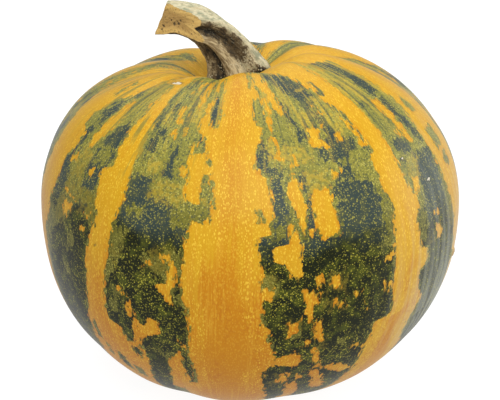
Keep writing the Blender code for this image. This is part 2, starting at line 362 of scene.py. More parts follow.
print(len(ORANGE_BITS), "orange bits")

# %% Dark green patches
DARK_PATCHES = (
    # between the middle stripe and the right one
    ((73, 14, 30), (70, 19, 33), (66.5, 21.6, 35.6), (63, 26, 36.6), (60, 30, 36.4)),
    ((60.4, 18.8, 20.4), (55, 19.4, 22), (52, 20, 24.4)), ((50.6, 22.4, 25.2), (46, 22, 24)),
    ((60, 30.4, 33.4), (52, 30.8, 33), (45, 31, 36)), ((46, 28, 36), (41, 26.4, 38), (38, 27.4, 35)),
    ((45.4, 35, 39), (40.6, 35, 40.4)), ((48.4, 42.8, 44), (44, 43, 44)), ((40, 42.4, 44), (37, 43, 44)),
    ((46.6, 7.6, 10), (41, 5.8, 10.4), (36, 5.8, 9.4)), ((36, 31, 34.8), (31, 28.6, 34.6)),
    ((38, 10.2, 13), (30, 9.8, 13.4), (25, 9.8, 14.6), (21, 10.4, 14), (14, 10, 13.6)),
    ((38, 18.6, 20), (32, 17.8, 20.4), (27, 18.8, 21), (20, 18.8, 20.8), (14, 17.4, 22)),
    ((31, 28, 35), (29, 27, 40), (20, 27.4, 40), (14, 27.4, 40)),
    ((15.4, 6, 9.6), (14.4, 5.6, 44), (10, 5.6, 43), (4.6, 6.6, 43), (4.4, 10.4, 43), (-2, 10.4, 43),
     (-2.4, 6.8, 43), (-12.6, 9, 43.6), (-13.4, 9.2, 38.4), (-20, 10.6, 39), (-27, 8, 38.4),
     (-36, 9, 38.4), (-42, 10, 37), (-50, 12.6, 35), (-62, 15, 27)),
    ((39.4, 54.6, 60), (36, 53.4, 61.4), (33.6, 57, 61)), ((32, 53.6, 55.6), (30.4, 53.6, 55.4)),
    ((52, 65.6, 69), (45, 66.2, 69.2), (34, 67, 69.6)),
    ((78, 62, 66), (72, 63, 71), (66, 66, 73.6), (60, 66, 74), (54, 65.6, 71)),
    ((54, 54, 56.6), (52, 54, 57)), ((62.6, 54, 56), (60.6, 54, 56)),
    ((31.6, 61, 70), (26, 57.6, 69), (15.6, 56.4, 68), (15, 53, 68), (10, 52.4, 69), (4.6, 52.6, 71),
     (3, 56, 71.6), (-1.8, 56.6, 72), (-3, 52.6, 72), (-8, 53.4, 72), (-14, 56.4, 73),
     (-22, 54, 73), (-45, 57, 72)),
    # between the middle stripe and the left one
    ((71, -30.4, -28), (66, -30.6, -28.4)), ((62, -31.4, -28.4), (55, -30.4, -28)),
    ((54, -33.4, -31.8), (48, -32.8, -31.2)), ((48, -30, -27.4), (43, -31.8, -27.4), (38, -31, -27.6)),
    ((63, -11.4, -7.6), (58.4, -12.8, -7), (54, -11.2, -7), (51.4, -10, -8)),
    ((49, -14.4, -12.8), (46, -13.8, -12.4)),
    ((43, -21.6, -19.6), (36, -22, -19.8), (32, -22.6, -19)), ((71, -17, -12.6), (68, -16.6, -13)),
    ((31, -33, -25), (25, -32.4, -24.6), (22, -32.6, -24.6), (12.4, -34.4, -28)),
    ((25.6, -24.8, -18.6), (18, -28.4, -16.8), (12, -28.6, -13), (9, -30, -17), (6, -31, -22)),
    ((16, -14.6, -12.4), (8, -14.4, -12.6)), ((3.4, -35.9, -34.2), (0, -35.6, -33.4)),
    ((13.4, -30, -25.2), (8, -30.4, -24.6), (4, -31, -24), (1, -32.6, -19), (-4.8, -36.4, -14.4),
     (-9, -37, -11.6), (-18, -37, -11.6), (-19.6, -32, -11.8), (-22.4, -31, -11.8), (-24, -26.4, -11.6)),
    ((5, -14.6, -13.6), (-3, -14.8, -13.2)), ((-24, -26, -11.8), (-28, -26.4, -18.8),
     (-36, -27, -19), (-45, -28.4, -21), (-58, -27, -21)),
    ((-25, -29.8, -27), (-29.2, -29.6, -27.8)), ((-23, -14.2, -11.8), (-30, -13.8, -10.8),
     (-38.4, -12.4, -10.8)),
    ((-32, -38.6, -35.8), (-37, -39.4, -36), (-40.4, -38, -36)), ((-21, -45, -43.6), (-28, -45.6, -44)),
    # outside the left stripe
    ((60, -60, -56), (57, -61, -57)), ((52.4, -64.4, -59), (46, -63.6, -58.6), (41, -61, -58)),
    ((40, -62.8, -60.4), (30, -63, -60.6), (25.4, -66, -61), (20, -64.8, -58.6), (12, -65, -60),
     (8, -66, -62)),
    ((47, -44.6, -42.8), (44, -49, -42), (40, -50, -41.6), (34, -50.6, -41.2), (29.6, -51, -43.6),
     (24, -50.8, -44), (20.6, -50, -45)),
    ((15, -50, -46), (11, -53, -44.6), (7, -55.6, -42.6), (3.6, -59, -43), (0, -64, -43.6),
     (-6, -66, -44.2), (-16, -66, -45), (-30, -66, -47.6), (-50, -65, -50)),
)
print(len(DARK_PATCHES), "dark patches")

# %% Yellow-green, half-ripened patches, and the olive ones that lie within the dark
GOLD_PATCHES = (
    ((57, 25.4, 29.6), (51, 24.4, 30)), ((60, 34, 42), (50, 34, 42)),
    ((36.4, 20, 27), (29, 20, 27)), ((46.6, 8.6, 13), (40, 10.4, 14)), ((44, 14, 22), (37.6, 14, 24)),
    ((50, 36, 41.6), (46, 36, 41)), ((66, 30, 34), (63, 31, 35)), ((4.6, 6.6, 10.4), (-2, 7, 10.6)),
    ((-9, 14, 17), (-14, 14.6, 18)), ((-3.6, 22, 28.6), (-6.4, 23, 29)),
    ((36, 20, 25), (24, 20, 23.4)), ((4, 23.6, 28), (-1.4, 23.4, 28)), ((34, 6, 9.6), (20.6, 5.8, 9.6)),
    ((82, 46, 58), (67, 46, 60), (63, 49, 58)), ((60, 51, 54), (54, 51, 54)), ((63, 60, 65), (58, 60, 64)),
    ((60, 57, 64), (54, 57, 62)), ((32, 55, 61), (25, 52, 58)), ((6, 56, 60.4), (3, 56, 60)),
    ((10, 68, 73), (2, 68, 74)), ((-15.4, 22, 25.4), (-20, 23, 26)), ((-30, 13, 18), (-36, 12, 17.4)),
    ((-26, 38, 44), (-34, 38, 46)), ((67, -26, -20), (58, -24, -17)), ((56, -31, -27), (50, -31, -27)),
    ((60, -23, -14), (52, -22, -14)), ((28, -9.8, -8), (23, -9.6, -7.4)), ((38, -29, -23), (32, -28, -23)),
    ((31, -25, -14), (24, -25, -13)), ((10, -21, -16), (1.6, -24.6, -17)),
    ((5.2, -34.6, -31.8), (0.4, -34, -32.4)),
    ((66, -60, -49), (60, -59, -49)), ((50, -52, -49), (46, -52, -49)), ((33, -58.4, -51), (21, -58, -52)),
    ((20, -59.4, -50), (14, -58, -48)), ((20, -50, -42), (11, -50, -42)), ((14, -60, -53), (4.6, -61, -55)),
    ((-26, -52, -46), (-36, -54, -48)), ((53, -72.6, -68), (44, -69, -66)),
    ((52, -34.6, -33), (30, -34.4, -32.6)),
)
OLIVE_WITHIN_DARK = (
    ((37, -49.6, -43), (30, -49, -43.6)), ((4.4, -54.4, -50.6), (-1, -53.6, -50)),
    ((-6, -56, -52.6), (-9.6, -55.4, -52.4)),
    ((20.6, -32.4, -26.2), (18, -31.4, -26.4)), ((10, -33.6, -30.6), (6, -33, -30.8)),
    ((-9, -36, -33), (-13, -35, -32)), ((-5, -34, -32), (-7.4, -33, -31)), ((15, 40, 43), (8, 39, 43)),
    ((19.8, 10.9, 13.6), (15, 11, 13.5)), ((16, 53, 56), (6, 53, 55.4)), ((-11, 15, 18), (-14, 14.6, 18)),
    ((-24, -20.6, -17.6), (-28, -20, -17.4)), ((-17, 29, 31), (-19, 29, 31)),
)
GREEN_ON_STRIPES = (
    ((-19.4, -32.6, -28.6), (-22.8, -31.8, -28.4)), ((-24.6, -30.2, -26.6), (-29.6, -29.8, -27.4)),
    ((-32, -38.8, -35.6), (-37, -39.6, -35.8), (-40.6, -38.2, -36)),
    ((-21, -45.2, -43.2), (-28, -45.8, -43.6)),
    ((-37, -34, -31.4), (-43, -35.4, -31)), ((-30, -42.6, -41), (-35, -43.4, -41.4)),
    ((47.6, 76, 80), (42, 76.4, 80.4)), ((35.4, 75, 80.4), (28, 75, 80)), ((26, 75, 80), (21, 75.4, 79)),
    ((62, -73, -70.4), (53.6, -72.4, -70)), ((65, 40, 42), (60, 40, 41.4)), ((72, 6, 9.8), (66.8, 6.4, 9.4)),
    ((24.4, 5.7, 7.4), (20.4, 5.7, 7.8)), ((42.6, -9.9, -9), (40, -9.7, -8.1), (38, -9.1, -8.1)),
    ((72, -12.4, -9.4), (63, -11.6, -7.8), (58.4, -12.8, -7), (54, -11.2, -6.9), (51, -10.2, -7.8)),
    ((35, -9.6, -7.6), (32, -9.9, -6.4), (27, -9.6, -5.8), (25.2, -9.3, -5.9), (24.8, -11.8, -5.9),
     (22, -12.4, -6.3), (19.6, -13, -7.2)),
)
print(len(GOLD_PATCHES), "yellow-green patches")

# %% [markdown]
# ## The ribs that face away
#
# The far side of a pumpkin is striped by the same growth, and nobody sees it in the picture. So it
# borrows the front's patches: each is carried to the ribs behind, stretched to their width, and
# every second one is mirrored, so that no two neighbours match.

# %% Carrying patches round the fruit
LEFT_GREEN = (-37.0, -12.5)
RIGHT_GREEN = (8.0, 43.0)
FAR_GREENS = (
    # from, to, the front patches that it borrows, mirrored, moved up
    (87.0, 109.0, RIGHT_GREEN, False, 4.0),
    (122.0, 144.0, LEFT_GREEN, True, -6.0),
    (157.0, 180.0, RIGHT_GREEN, True, -3.0),
    (190.0, 210.0, LEFT_GREEN, False, 5.0),
    (222.0, 246.0, RIGHT_GREEN, False, -7.0),
    (258.0, 280.0, LEFT_GREEN, True, 2.0),
)
FAR_STRIPES = (
    # middle, the front stripe that it borrows, width, moved up
    (115.5, 2, 1.2, -2.0),
    (150.5, 0, 0.75, 3.0),
    (185.0, 2, 1.0, 1.0),
    (216.0, 0, 0.8, -4.0),
    (252.0, 2, 1.3, 2.0),
)
STRIPE_MIDDLES = (-2.0, -38.5, 47.5)
HALF_STRIPE = 10.0


def carried(rows, old, new, up):
    """The rows, their edges carried evenly from one span of azimuth to another, and moved up."""
    stretch = (new[1] - new[0]) / (old[1] - old[0])
    moved = ((row[0] + up, *(new[0] + (edge - old[0]) * stretch for edge in row[1:])) for row in rows)
    return tuple((height, min(edges), max(edges)) for height, *edges in moved)


def borrowed(strips):
    """The strips within the front's two greens, carried to every green behind."""
    found = []
    for start, end, source, mirror, up in FAR_GREENS:
        span = (end, start) if mirror else (start, end)
        inside = [rows for rows in strips if source[0] - 2 < np.mean([r[1:] for r in rows]) < source[1] + 2]
        found += [carried(rows, source, span, up) for rows in inside]
    return tuple(found)


far_stripes = []
for middle, source, width, up in FAR_STRIPES:
    old = (STRIPE_MIDDLES[source] - HALF_STRIPE, STRIPE_MIDDLES[source] + HALF_STRIPE)
    new = (middle - HALF_STRIPE * width, middle + HALF_STRIPE * width)
    far_stripes.append(carried(STRIPES[source], old, new, up))
print(len(far_stripes), "far stripes,", len(borrowed(DARK_PATCHES)), "borrowed dark patches")

# %% Keep the distances on the skin
orange = np.maximum(inside_any(STRIPES + tuple(far_stripes)), inside_any(ORANGE_BITS + borrowed(ORANGE_BITS)))
orange = np.minimum(orange, -inside_any(GREEN_ON_STRIPES))
dark = np.minimum(inside_any(DARK_PATCHES + borrowed(DARK_PATCHES)),
                  -inside_any(OLIVE_WITHIN_DARK + borrowed(OLIVE_WITHIN_DARK)))
gold = inside_any(GOLD_PATCHES + borrowed(GOLD_PATCHES))
scar = np.zeros_like(dent)
for around, up, half_width, half_height, _, cork in SCAR_SPOTS:
    scar = np.maximum(scar, cork * spot(around, up, half_width, half_height))
keep(fruit_mesh, "inside_orange", orange, 9.0, 9.0)
keep(fruit_mesh, "inside_dark", dark, -9.0, -9.0)
keep(fruit_mesh, "inside_gold", gold, -9.0, -9.0)
keep(fruit_mesh, "scar", scar, 0.6, 0.0)
print("orange covers", round(float((orange > 0).mean()) * 100), "% of the grid")

# %% [markdown]
# A grain that follows the ribs needs a place on the skin that has no seam behind and stays even
# from pole to pole: two numbers walk round a circle, and the third goes up along the rib.

# %% The place along the ribs
a, t = np.radians(azimuth) + 0.0 * angle, np.radians(angle) + 0.0 * azimuth
along_rib = np.stack([np.sin(a), -np.cos(a), t], axis=-1) * GIRTH_RADIUS
keep(fruit_mesh, "along_rib", along_rib, [0, 0, -GIRTH_RADIUS * 1.57], [0, 0, GIRTH_RADIUS * 1.57])
print("the fruit keeps", len(fruit_mesh.attributes), "attributes")

# %% [markdown]
# ## Helpers for paint
#
# The materials are built from Blender's nodes by a few short calls: one adds any node to the tree
# that is being painted, and the others name the sums that come up again and again.

# %% Nodes by name
def fill(sockets, inputs):
    """Fills sockets. Each input is a number, a colour or another node's socket."""
    for name, value in inputs.items():
        if isinstance(value, bpy.types.NodeSocket):
            tree.links.new(value, sockets[name])
        else:
            sockets[name].default_value = value


def node(kind, inputs, **settings):
    """Adds a node with its settings and its inputs."""
    made = tree.nodes.new(kind)
    for name, value in settings.items():
        setattr(made, name, value)
    fill(made.inputs, inputs)
    return made


def sums(operation, *values):
    """One step of arithmetic on numbers."""
    return node("ShaderNodeMath", dict(enumerate(values)), operation=operation).outputs[0]


def times(first, second):
    """The product of two numbers."""
    return sums("MULTIPLY", first, second)


def shaken(value, noise, reach):
    """The value, moved up and down by a noise of about half, times a reach."""
    return sums("MULTIPLY_ADD", sums("SUBTRACT", noise, 0.5), reach, value)


def over(amount, under, upper):
    """The upper colour laid over the under one, by an amount from 0 to 1."""
    return node("ShaderNodeMix", {0: amount, 6: under, 7: upper}, data_type="RGBA").outputs[2]


def rise(value, start, end, low=0.0, high=1.0):
    """Low until start and high from end, with a smooth rise between."""
    inputs = {0: value, 1: start, 2: end, 3: low, 4: high}
    return node("ShaderNodeMapRange", inputs, interpolation_type="SMOOTHSTEP").outputs[0]


def drawn_out(place, share):
    """A place whose way along counts for less, so that a grain on it becomes long."""
    inputs = {0: place, 1: (1.0, 1.0, share)}
    return node("ShaderNodeVectorMath", inputs, operation="MULTIPLY").outputs[0]


def cloudy(place, scale, detail=2.0):
    """Smooth noise of about half, in cells of one over the scale."""
    inputs = {"Vector": place, "Scale": scale, "Detail": detail}
    return node("ShaderNodeTexNoise", inputs).outputs[0]


def kept(name, vector=False):
    """A number or a place that is kept on the mesh."""
    made = node("ShaderNodeAttribute", {}, attribute_name=name)
    return made.outputs["Vector" if vector else "Fac"]


def new_group(name, inputs, outputs):
    """A node group: its tree, its input sockets and its output node."""
    tree = bpy.data.node_groups.new(name, "ShaderNodeTree")
    for label, kind in inputs.items():
        tree.interface.new_socket(label, in_out="INPUT", socket_type="NodeSocket" + kind)
    for label in outputs:
        tree.interface.new_socket(label, in_out="OUTPUT", socket_type="NodeSocketFloat")
    return tree, tree.nodes.new("NodeGroupInput").outputs, tree.nodes.new("NodeGroupOutput")


def use(group, inputs):
    """A use of a node group, with its inputs."""
    return node("ShaderNodeGroup", inputs, node_tree=group).outputs


def new_material(name, mesh):
    """A material on a mesh: its tree, and the sockets of its surface."""
    made = bpy.data.materials.new(name)
    made.use_nodes = True
    mesh.materials.append(made)
    return made.node_tree, made.node_tree.nodes["Principled BSDF"].inputs


# %% [markdown]
# ## Two effects that both pieces share
#
# **Frayed patch.** Where one colour of a living skin meets another, the line follows single cells,
# so it is toothed, with stray bits on both sides. A distance turns into such a patch when it is
# pushed in and out by a cloudy noise and by random blocks before it is cut off at zero.
#
# **Flecks.** Skin and cork are dotted where pores opened. Dots of random size come from the
# distance to scattered points.

# %% The frayed patch
sockets = {"Inside": "Float", "Place": "Vector", "Fray": "Float", "Softness": "Float"}
tree, given, result = new_group("frayed_patch", sockets, ["Patch"])
frayed = tree
teeth = sums("SUBTRACT", cloudy(given["Place"], 420.0, 3.0), 0.5)
blocks = node("ShaderNodeTexVoronoi", {"Vector": given["Place"], "Scale": 520.0}, distance="CHEBYCHEV")
block = node("ShaderNodeSeparateColor", {0: blocks.outputs["Color"]}).outputs[0]
push = sums("MULTIPLY_ADD", teeth, 2.2, times(sums("SUBTRACT", block, 0.5), 0.80))
edge = sums("MULTIPLY_ADD", push, given["Fray"], given["Inside"])
soft = times(given["Softness"], -1.0)
tree.links.new(rise(edge, soft, given["Softness"]), result.inputs["Patch"])
print("a frayed patch takes", len(tree.nodes), "nodes")

# %% The flecks
sockets = {"Place": "Vector", "Scale": "Float", "Size": "Float"}
tree, given, result = new_group("flecks", sockets, ["Fleck", "Tint"])
flecks = tree
points = node("ShaderNodeTexVoronoi", {"Vector": given["Place"], "Scale": given["Scale"]})
chance = node("ShaderNodeSeparateColor", {0: points.outputs["Color"]}).outputs
reach = times(given["Size"], sums("MULTIPLY_ADD", chance[0], 0.8, 0.6))
fleck = rise(points.outputs["Distance"], times(reach, 0.6), reach, 1.0, 0.0)
tree.links.new(fleck, result.inputs["Fleck"])
tree.links.new(chance[1], result.inputs["Tint"])
print("flecks take", len(tree.nodes), "nodes")

# %% [markdown]
# ## The rind
#
# The rind is a hard skin under a thin wax. Its orange is painted deeper and darker towards the floor,
# as shade, and it is deeper along the crest of the middle stripe. It is dotted with pale dashes that run
# along the ribs, and low down it has a net of fine veins. The green has three strengths, each thick
# with yellow-green flecks: near black, olive, and half ripened gold. Each is painted lighter above the
# girth, and the near black there takes a painted grey-blue sheen. Near the stalk all of them break
# into thin streaks. One material lays them over each other in the order in which the fruit ripens:
# olive, dark, gold, and orange last. A pale painted sheen, broken into streaks, lies on the right side,
# where the orange is painted paler low down.

# %% Colours of the rind
# The first two olives are one olive, painted shaded for below and painted lit for above the girth
OLIVE_SHADED = (0.088, 0.080, 0.010, 1.0)
OLIVE_LIT = (0.150, 0.142, 0.027, 1.0)
OLIVE_PALE = (0.235, 0.210, 0.036, 1.0)
DARK_LOW = (0.0060, 0.0080, 0.0010, 1.0)
# The second dark green is the first with a painted grey-blue sheen, for above the girth
DARK_GREEN_SHEEN = (0.028, 0.040, 0.034, 1.0)
MOSS = (0.056, 0.062, 0.0036, 1.0)
FLECK_DIM = (0.040, 0.046, 0.004, 1.0)
FLECK_BRIGHT = (0.420, 0.360, 0.040, 1.0)
STRAW = (0.400, 0.350, 0.080, 1.0)
GOLD = (0.400, 0.270, 0.024, 1.0)
# The second gold is the first painted in shade, for low down
GOLD_SHADED = (0.135, 0.102, 0.010, 1.0)
ORANGE_YELLOW = (0.440, 0.238, 0.0090, 1.0)
ORANGE_DEEP = (0.385, 0.150, 0.0030, 1.0)
ORANGE_VEIN = (0.340, 0.110, 0.0030, 1.0)
ORANGE_PALE = (0.600, 0.390, 0.034, 1.0)
CORK = (0.500, 0.450, 0.340, 1.0)
# A painted sheen, for the right side
RIGHT_SIDE_SHEEN = (0.520, 0.530, 0.420, 1.0)

# %% Flecks of the skin, in two sizes
tree, surface = new_material("waxy_striped_rind", fruit_mesh)
spot_place = tree.nodes.new("ShaderNodeTexCoord").outputs["Object"]
rib_place = kept("along_rib", True)
long_grain = drawn_out(rib_place, 0.5)
broad = cloudy(spot_place, 60.0, 3.0)
crowd = rise(broad, 0.3, 0.7, 0.24, 0.44)
fine = use(flecks, {"Place": spot_place, "Scale": 1150.0, "Size": crowd})
large = use(flecks, {"Place": spot_place, "Scale": 560.0, "Size": 0.26})
fleck_colour = over(fine["Tint"], FLECK_DIM, FLECK_BRIGHT)
fleck_amount = sums("MAXIMUM", fine["Fleck"], times(large["Fleck"], 0.8))
print("the rind has", len(tree.nodes), "nodes so far")

# %% The height, which paints the greens greyer and paler above the girth, as light and sheen
where = node("ShaderNodeSeparateXYZ", {0: spot_place}).outputs
height, rightward = where["Z"], where["X"]
wavy_height = shaken(height, broad, 0.030)
# Above the girth: here the dark green takes a painted sheen, and its moss and flecks thin out
upper = rise(wavy_height, 0.104, 0.120)
# Painted light: the olive and the gold turn from their shaded to their lit copies going up
painted_top_light = rise(wavy_height, 0.100, 0.155)
print("the girth is at", round(-FLOOR * 1000), "mm, and the greens turn from 100 mm up")

# %% The olive, with pits and flecks
# Painted light: the olive is lighter towards the top, with more pale streaks there
olive = over(painted_top_light, OLIVE_SHADED, OLIVE_LIT)
paler = rise(cloudy(long_grain, 700.0, 3.0), 0.40, 0.70, 0.0, rise(painted_top_light, 0.0, 1.0, 0.2, 0.7))
olive = over(paler, olive, OLIVE_PALE)
pits = use(flecks, {"Place": spot_place, "Scale": 800.0, "Size": 0.42})
# Painted sheen: the dark green turns grey-blue above the girth
dark_green = over(upper, DARK_LOW, DARK_GREEN_SHEEN)
olive = over(times(pits["Fleck"], 0.6), olive, dark_green)
olive = over(times(fleck_amount, 0.7), olive, over(fine["Tint"], OLIVE_PALE, STRAW))
print("the rind has", len(tree.nodes), "nodes with the olive")

# %% The dark green, clouded with moss and flecks, in frayed patches
clouds = cloudy(spot_place, 190.0, 4.0)
mossy = rise(clouds, 0.45, 0.72, 0.0, rise(upper, 0.0, 1.0, 0.85, 0.25))
dark_green = over(mossy, dark_green, over(upper, MOSS, olive))
speckled = rise(clouds, 0.3, 0.6, 0.3, rise(upper, 0.0, 1.0, 0.85, 0.55))
dark_green = over(times(fleck_amount, speckled), dark_green, fleck_colour)
frayed_dark = {"Inside": kept("inside_dark"), "Place": long_grain, "Fray": 4.2, "Softness": 0.9}
green = over(use(frayed, frayed_dark)["Patch"], olive, dark_green)
print("the rind has", len(tree.nodes), "nodes with the dark green")

# %% The half-ripened patches, and the streaks near the stalk
mottle = rise(cloudy(spot_place, 520.0, 3.0), 0.42, 0.58, 0.10, 0.62)
# Painted shade: the gold darkens below the girth
gold = over(painted_top_light, GOLD_SHADED, GOLD)
frayed_gold = {"Inside": kept("inside_gold"), "Place": long_grain, "Fray": 4.0, "Softness": 1.0}
green = over(times(use(frayed, frayed_gold)["Patch"], mottle), green, gold)
green = over(times(fleck_amount, rise(upper, 0.0, 1.0, 0.0, 0.22)), green, STRAW)
near_top = rise(wavy_height, 0.140, 0.160)
lines = cloudy(drawn_out(rib_place, 0.07), 300.0, 4.0)
green = over(times(near_top, rise(lines, 0.54, 0.64, 0.0, 0.50)), green, GOLD)
green = over(times(near_top, rise(lines, 0.38, 0.46, 0.60, 0.0)), green, DARK_GREEN_SHEEN)
print("the rind has", len(tree.nodes), "nodes with all its greens")

# %% How deep the orange is: by height, with painted shade deepening it towards the bottom and painted light paling it low on the right; near the stripes' edges, and in streaks
inside = kept("inside_orange")
middle_part = rise(inside, 7.0, 11.0)
# Painted shade: deeper and darker towards the bottom; painted light: paler low on the right side
orange_depth_and_shade = rise(height, 0.04, 0.135, rise(rightward, 0.03, 0.06, 0.80, 0.10), 0.18)
orange_depth_and_shade = sums("MULTIPLY_ADD", middle_part, rise(height, 0.08, 0.12, 0.6, 0.0), orange_depth_and_shade)
sideways = node("ShaderNodeSeparateXYZ", {0: rib_place}).outputs["X"]
crest = rise(sums("ABSOLUTE", sums("ADD", sideways, 0.0022)), 0.002, 0.008, 1.0, 0.0)
orange_depth_and_shade = sums("MULTIPLY_ADD", crest, rise(height, 0.09, 0.12, 0.0, 0.30), orange_depth_and_shade)
orange_depth_and_shade = sums("ADD", orange_depth_and_shade, rise(inside, 0.0, 1.5, 0.3, 0.0))
uneven = cloudy(drawn_out(rib_place, 0.3), 110.0, 4.0)
orange_depth_and_shade = shaken(orange_depth_and_shade, uneven, 0.6)
streaks = cloudy(drawn_out(rib_place, 0.05), 520.0, 3.0)
orange_depth_and_shade = shaken(orange_depth_and_shade, streaks, 1.5)
print("the rind has", len(tree.nodes), "nodes with the orange's depth")

# %% The orange, with veins and dashes
ripe = over(rise(orange_depth_and_shade, 0.0, 1.0), ORANGE_YELLOW, ORANGE_DEEP)
ripe = over(rise(streaks, 0.56, 0.66, 0.0, 0.18), ripe, ORANGE_PALE)
net_place = drawn_out(rib_place, 0.45)
net = node("ShaderNodeTexVoronoi", {"Vector": net_place, "Scale": 420.0}, feature="DISTANCE_TO_EDGE")
veins = rise(net.outputs["Distance"], 0.02, 0.14, rise(height, 0.07, 0.11, 0.62, 0.14), 0.0)
ripe = over(times(veins, rise(uneven, 0.4, 0.6)), ripe, ORANGE_VEIN)
dashes = use(flecks, {"Place": drawn_out(rib_place, 0.45), "Scale": 1300.0, "Size": 0.46})
brightest = sums("MULTIPLY_ADD", middle_part, -0.45, rise(height, 0.07, 0.12, 0.65, 0.85))
ripe = over(times(dashes["Fleck"], rise(dashes["Tint"], 0.0, 1.0, 0.15, brightest)),
            ripe, ORANGE_PALE)
by_stalk = times(rise(wavy_height, 0.128, 0.150), rise(rightward, -0.04, -0.015, 1.0, 0.0))
ripe = over(times(by_stalk, rise(lines, 0.40, 0.48, 0.75, 0.0)), ripe, OLIVE_LIT)
frayed_orange = {"Inside": inside, "Place": long_grain, "Fray": 2.8, "Softness": 0.55}
skin_colour = over(use(frayed, frayed_orange)["Patch"], green, ripe)
print("the rind has", len(tree.nodes), "nodes with the orange")

# %% The painted sheen on the right side, and the scars
# Painted sheen: a pale grey-green reflection on the right side, strongest low down, broken into streaks
painted_right_sheen = times(rise(rightward, 0.052, 0.098), rise(height, 0.05, 0.13, 0.25, 0.07))
painted_right_sheen = times(painted_right_sheen, rise(lines, 0.38, 0.62, 0.35, 1.45))
skin_colour = over(painted_right_sheen, skin_colour, RIGHT_SIDE_SHEEN)
torn = shaken(kept("scar"), mottle, 0.5)
corky = rise(torn, 0.45, 0.60)
skin_colour = over(rise(torn, 0.10, 0.45, 0.0, 0.5), skin_colour, DARK_LOW)
skin_colour = over(corky, skin_colour, CORK)
print("the rind has", len(tree.nodes), "nodes with all its colours")

# %% [markdown]
# The wax fills the pores of a ripe skin, so its gloss is soft and broad. It is a little duller
# on the flecks, and the cork of a scar has no gloss at all.

# %% Gloss and pores of the rind
gloss = sums("MULTIPLY_ADD", fine["Fleck"], 0.06, 0.42)
rough = sums("ADD", gloss, rise(corky, 0.0, 1.0, 0.0, 0.4))
pores = sums("MULTIPLY_ADD", fine["Fleck"], -0.25, cloudy(spot_place, 700.0, 2.0))
relief = node("ShaderNodeBump", {"Height": pores, "Strength": 0.12, "Distance": 0.0006}).outputs[0]
fill(surface, {"Base Color": skin_colour, "Roughness": rough, "Normal": relief})
fill(surface, {"Specular IOR Level": 0.08, "Coat Weight": 0.08, "Coat Roughness": 0.30})
print("the rind has", len(tree.nodes), "nodes")

# %% [markdown]
# ## The stalk
#
# The stalk is the dried stem of the vine: five ridges of fibre around a pith, flared where it grips
# the fruit, bent over as it dried and cut with one slanting stroke of a knife. A profile carried
# along a path gives all of it: the path bends, the profile turns and grows ridges, and each of its
# fibres starts on the skin and ends where the cut meets it.

# %% Sizes of the stalk
STALK_STATIONS = np.array((
    # x, y, height above the girth, half height, half depth, turn in degrees
    (0.0006, 0.0000, 0.0540, 0.0185, 0.0165, 64),
    (0.0002, 0.0000, 0.0600, 0.0172, 0.0156, 64),
    (-0.0008, 0.0003, 0.0665, 0.0150, 0.0140, 63),
    (-0.0032, 0.0008, 0.0732, 0.0120, 0.0120, 61),
    (-0.0072, 0.0010, 0.0802, 0.0099, 0.0105, 57),
    (-0.0132, 0.0008, 0.0870, 0.0087, 0.0103, 48),
    (-0.0212, 0.0000, 0.0918, 0.0080, 0.0108, 31),
    (-0.0305, -0.0016, 0.0934, 0.0079, 0.0114, 13),
    (-0.0405, -0.0034, 0.0928, 0.0084, 0.0120, 3),
    (-0.0505, -0.0050, 0.0916, 0.0088, 0.0120, 0),
))
STALK_RIDGES = (3, 114, 170, 231, 298)
STALK_GROOVES = np.array((0.65, 0.9, 1.0, 1.0, 1.0))
RIDGE_HEIGHT = 0.20
RIDGE_WIDTH = 0.8
CUT_POINT = np.array((-0.0417, 0.0034, 0.0840))
SLANT_OUT = np.array((-0.496, -0.867, -0.052))
END_OUT = np.array((-0.934, 0.125, 0.335))
FIBRES = 300
STEPS = 190


# %% The path of the stalk, and its profile
def through_stations(count):
    """A smooth run through the stations: a Catmull-Rom curve, whose slope at each station is that
    from the one before to the one after."""
    table = STALK_STATIONS
    table = np.vstack([2 * table[0] - table[1], table, 2 * table[-1] - table[-2]])
    place = np.linspace(0.0, len(STALK_STATIONS) - 1.0, count)
    index = np.minimum(place.astype(int), len(STALK_STATIONS) - 2)
    part = (place - index)[:, None]
    before, here, there, after = (table[index + step] for step in range(4))
    bend = 2 * before - 5 * here + 4 * there - after
    twist = 3 * here - before - 3 * there + after
    return 0.5 * (2 * here + (there - before) * part + bend * part**2 + twist * part**3)


def unit(vectors):
    """The vectors, each divided by its length."""
    return vectors / np.linalg.norm(vectors, axis=-1, keepdims=True)


def ridge_height(own):
    """1 on a ridge and down to 0 in a groove: a raised cosine between ridges, by groove depth."""
    place = place_between(own, STALK_RIDGES)
    groove = STALK_GROOVES[np.minimum(place.astype(int), 4)]
    return 1.0 - groove * (1.0 - ((1.0 + np.cos(2.0 * np.pi * place)) / 2.0) ** RIDGE_WIDTH)


run = through_stations(30)
along = unit(np.gradient(run[:, :3], axis=0))
outer = unit(np.cross(along, np.array([0.0, -1.0, 0.0])))
front = np.cross(outer, along)
track = np.hstack([run, outer, front])
print("the stalk's path is", round(np.linalg.norm(np.diff(run[:, :3], axis=0), axis=1).sum() * 1000), "mm")


# %% The stalk's surface
def at_step(step, columns):
    """The track's columns at any steps along it, each read off straight between its rows."""
    rows = np.arange(len(track))
    return np.stack([np.interp(step, rows, track[:, column]) for column in columns], axis=-1)


def stalk_points(step, own, sink=0.0):
    """Points of the stalk: the path, plus an oval around it that swells on the ridges."""
    half_height, half_depth, turn = np.moveaxis(at_step(step, (3, 4, 5)), -1, 0)
    angle = np.radians(own + turn)
    swell = 1.0 + RIDGE_HEIGHT * (2.0 * ridge_height(own) - 1.0)
    forward = (swell * half_depth - sink) * np.cos(angle)
    upward = (swell * half_height - sink) * np.sin(angle)
    out = upward[..., None] * at_step(step, (6, 7, 8)) + forward[..., None] * at_step(step, (9, 10, 11))
    return at_step(step, (0, 1, 2)) + out


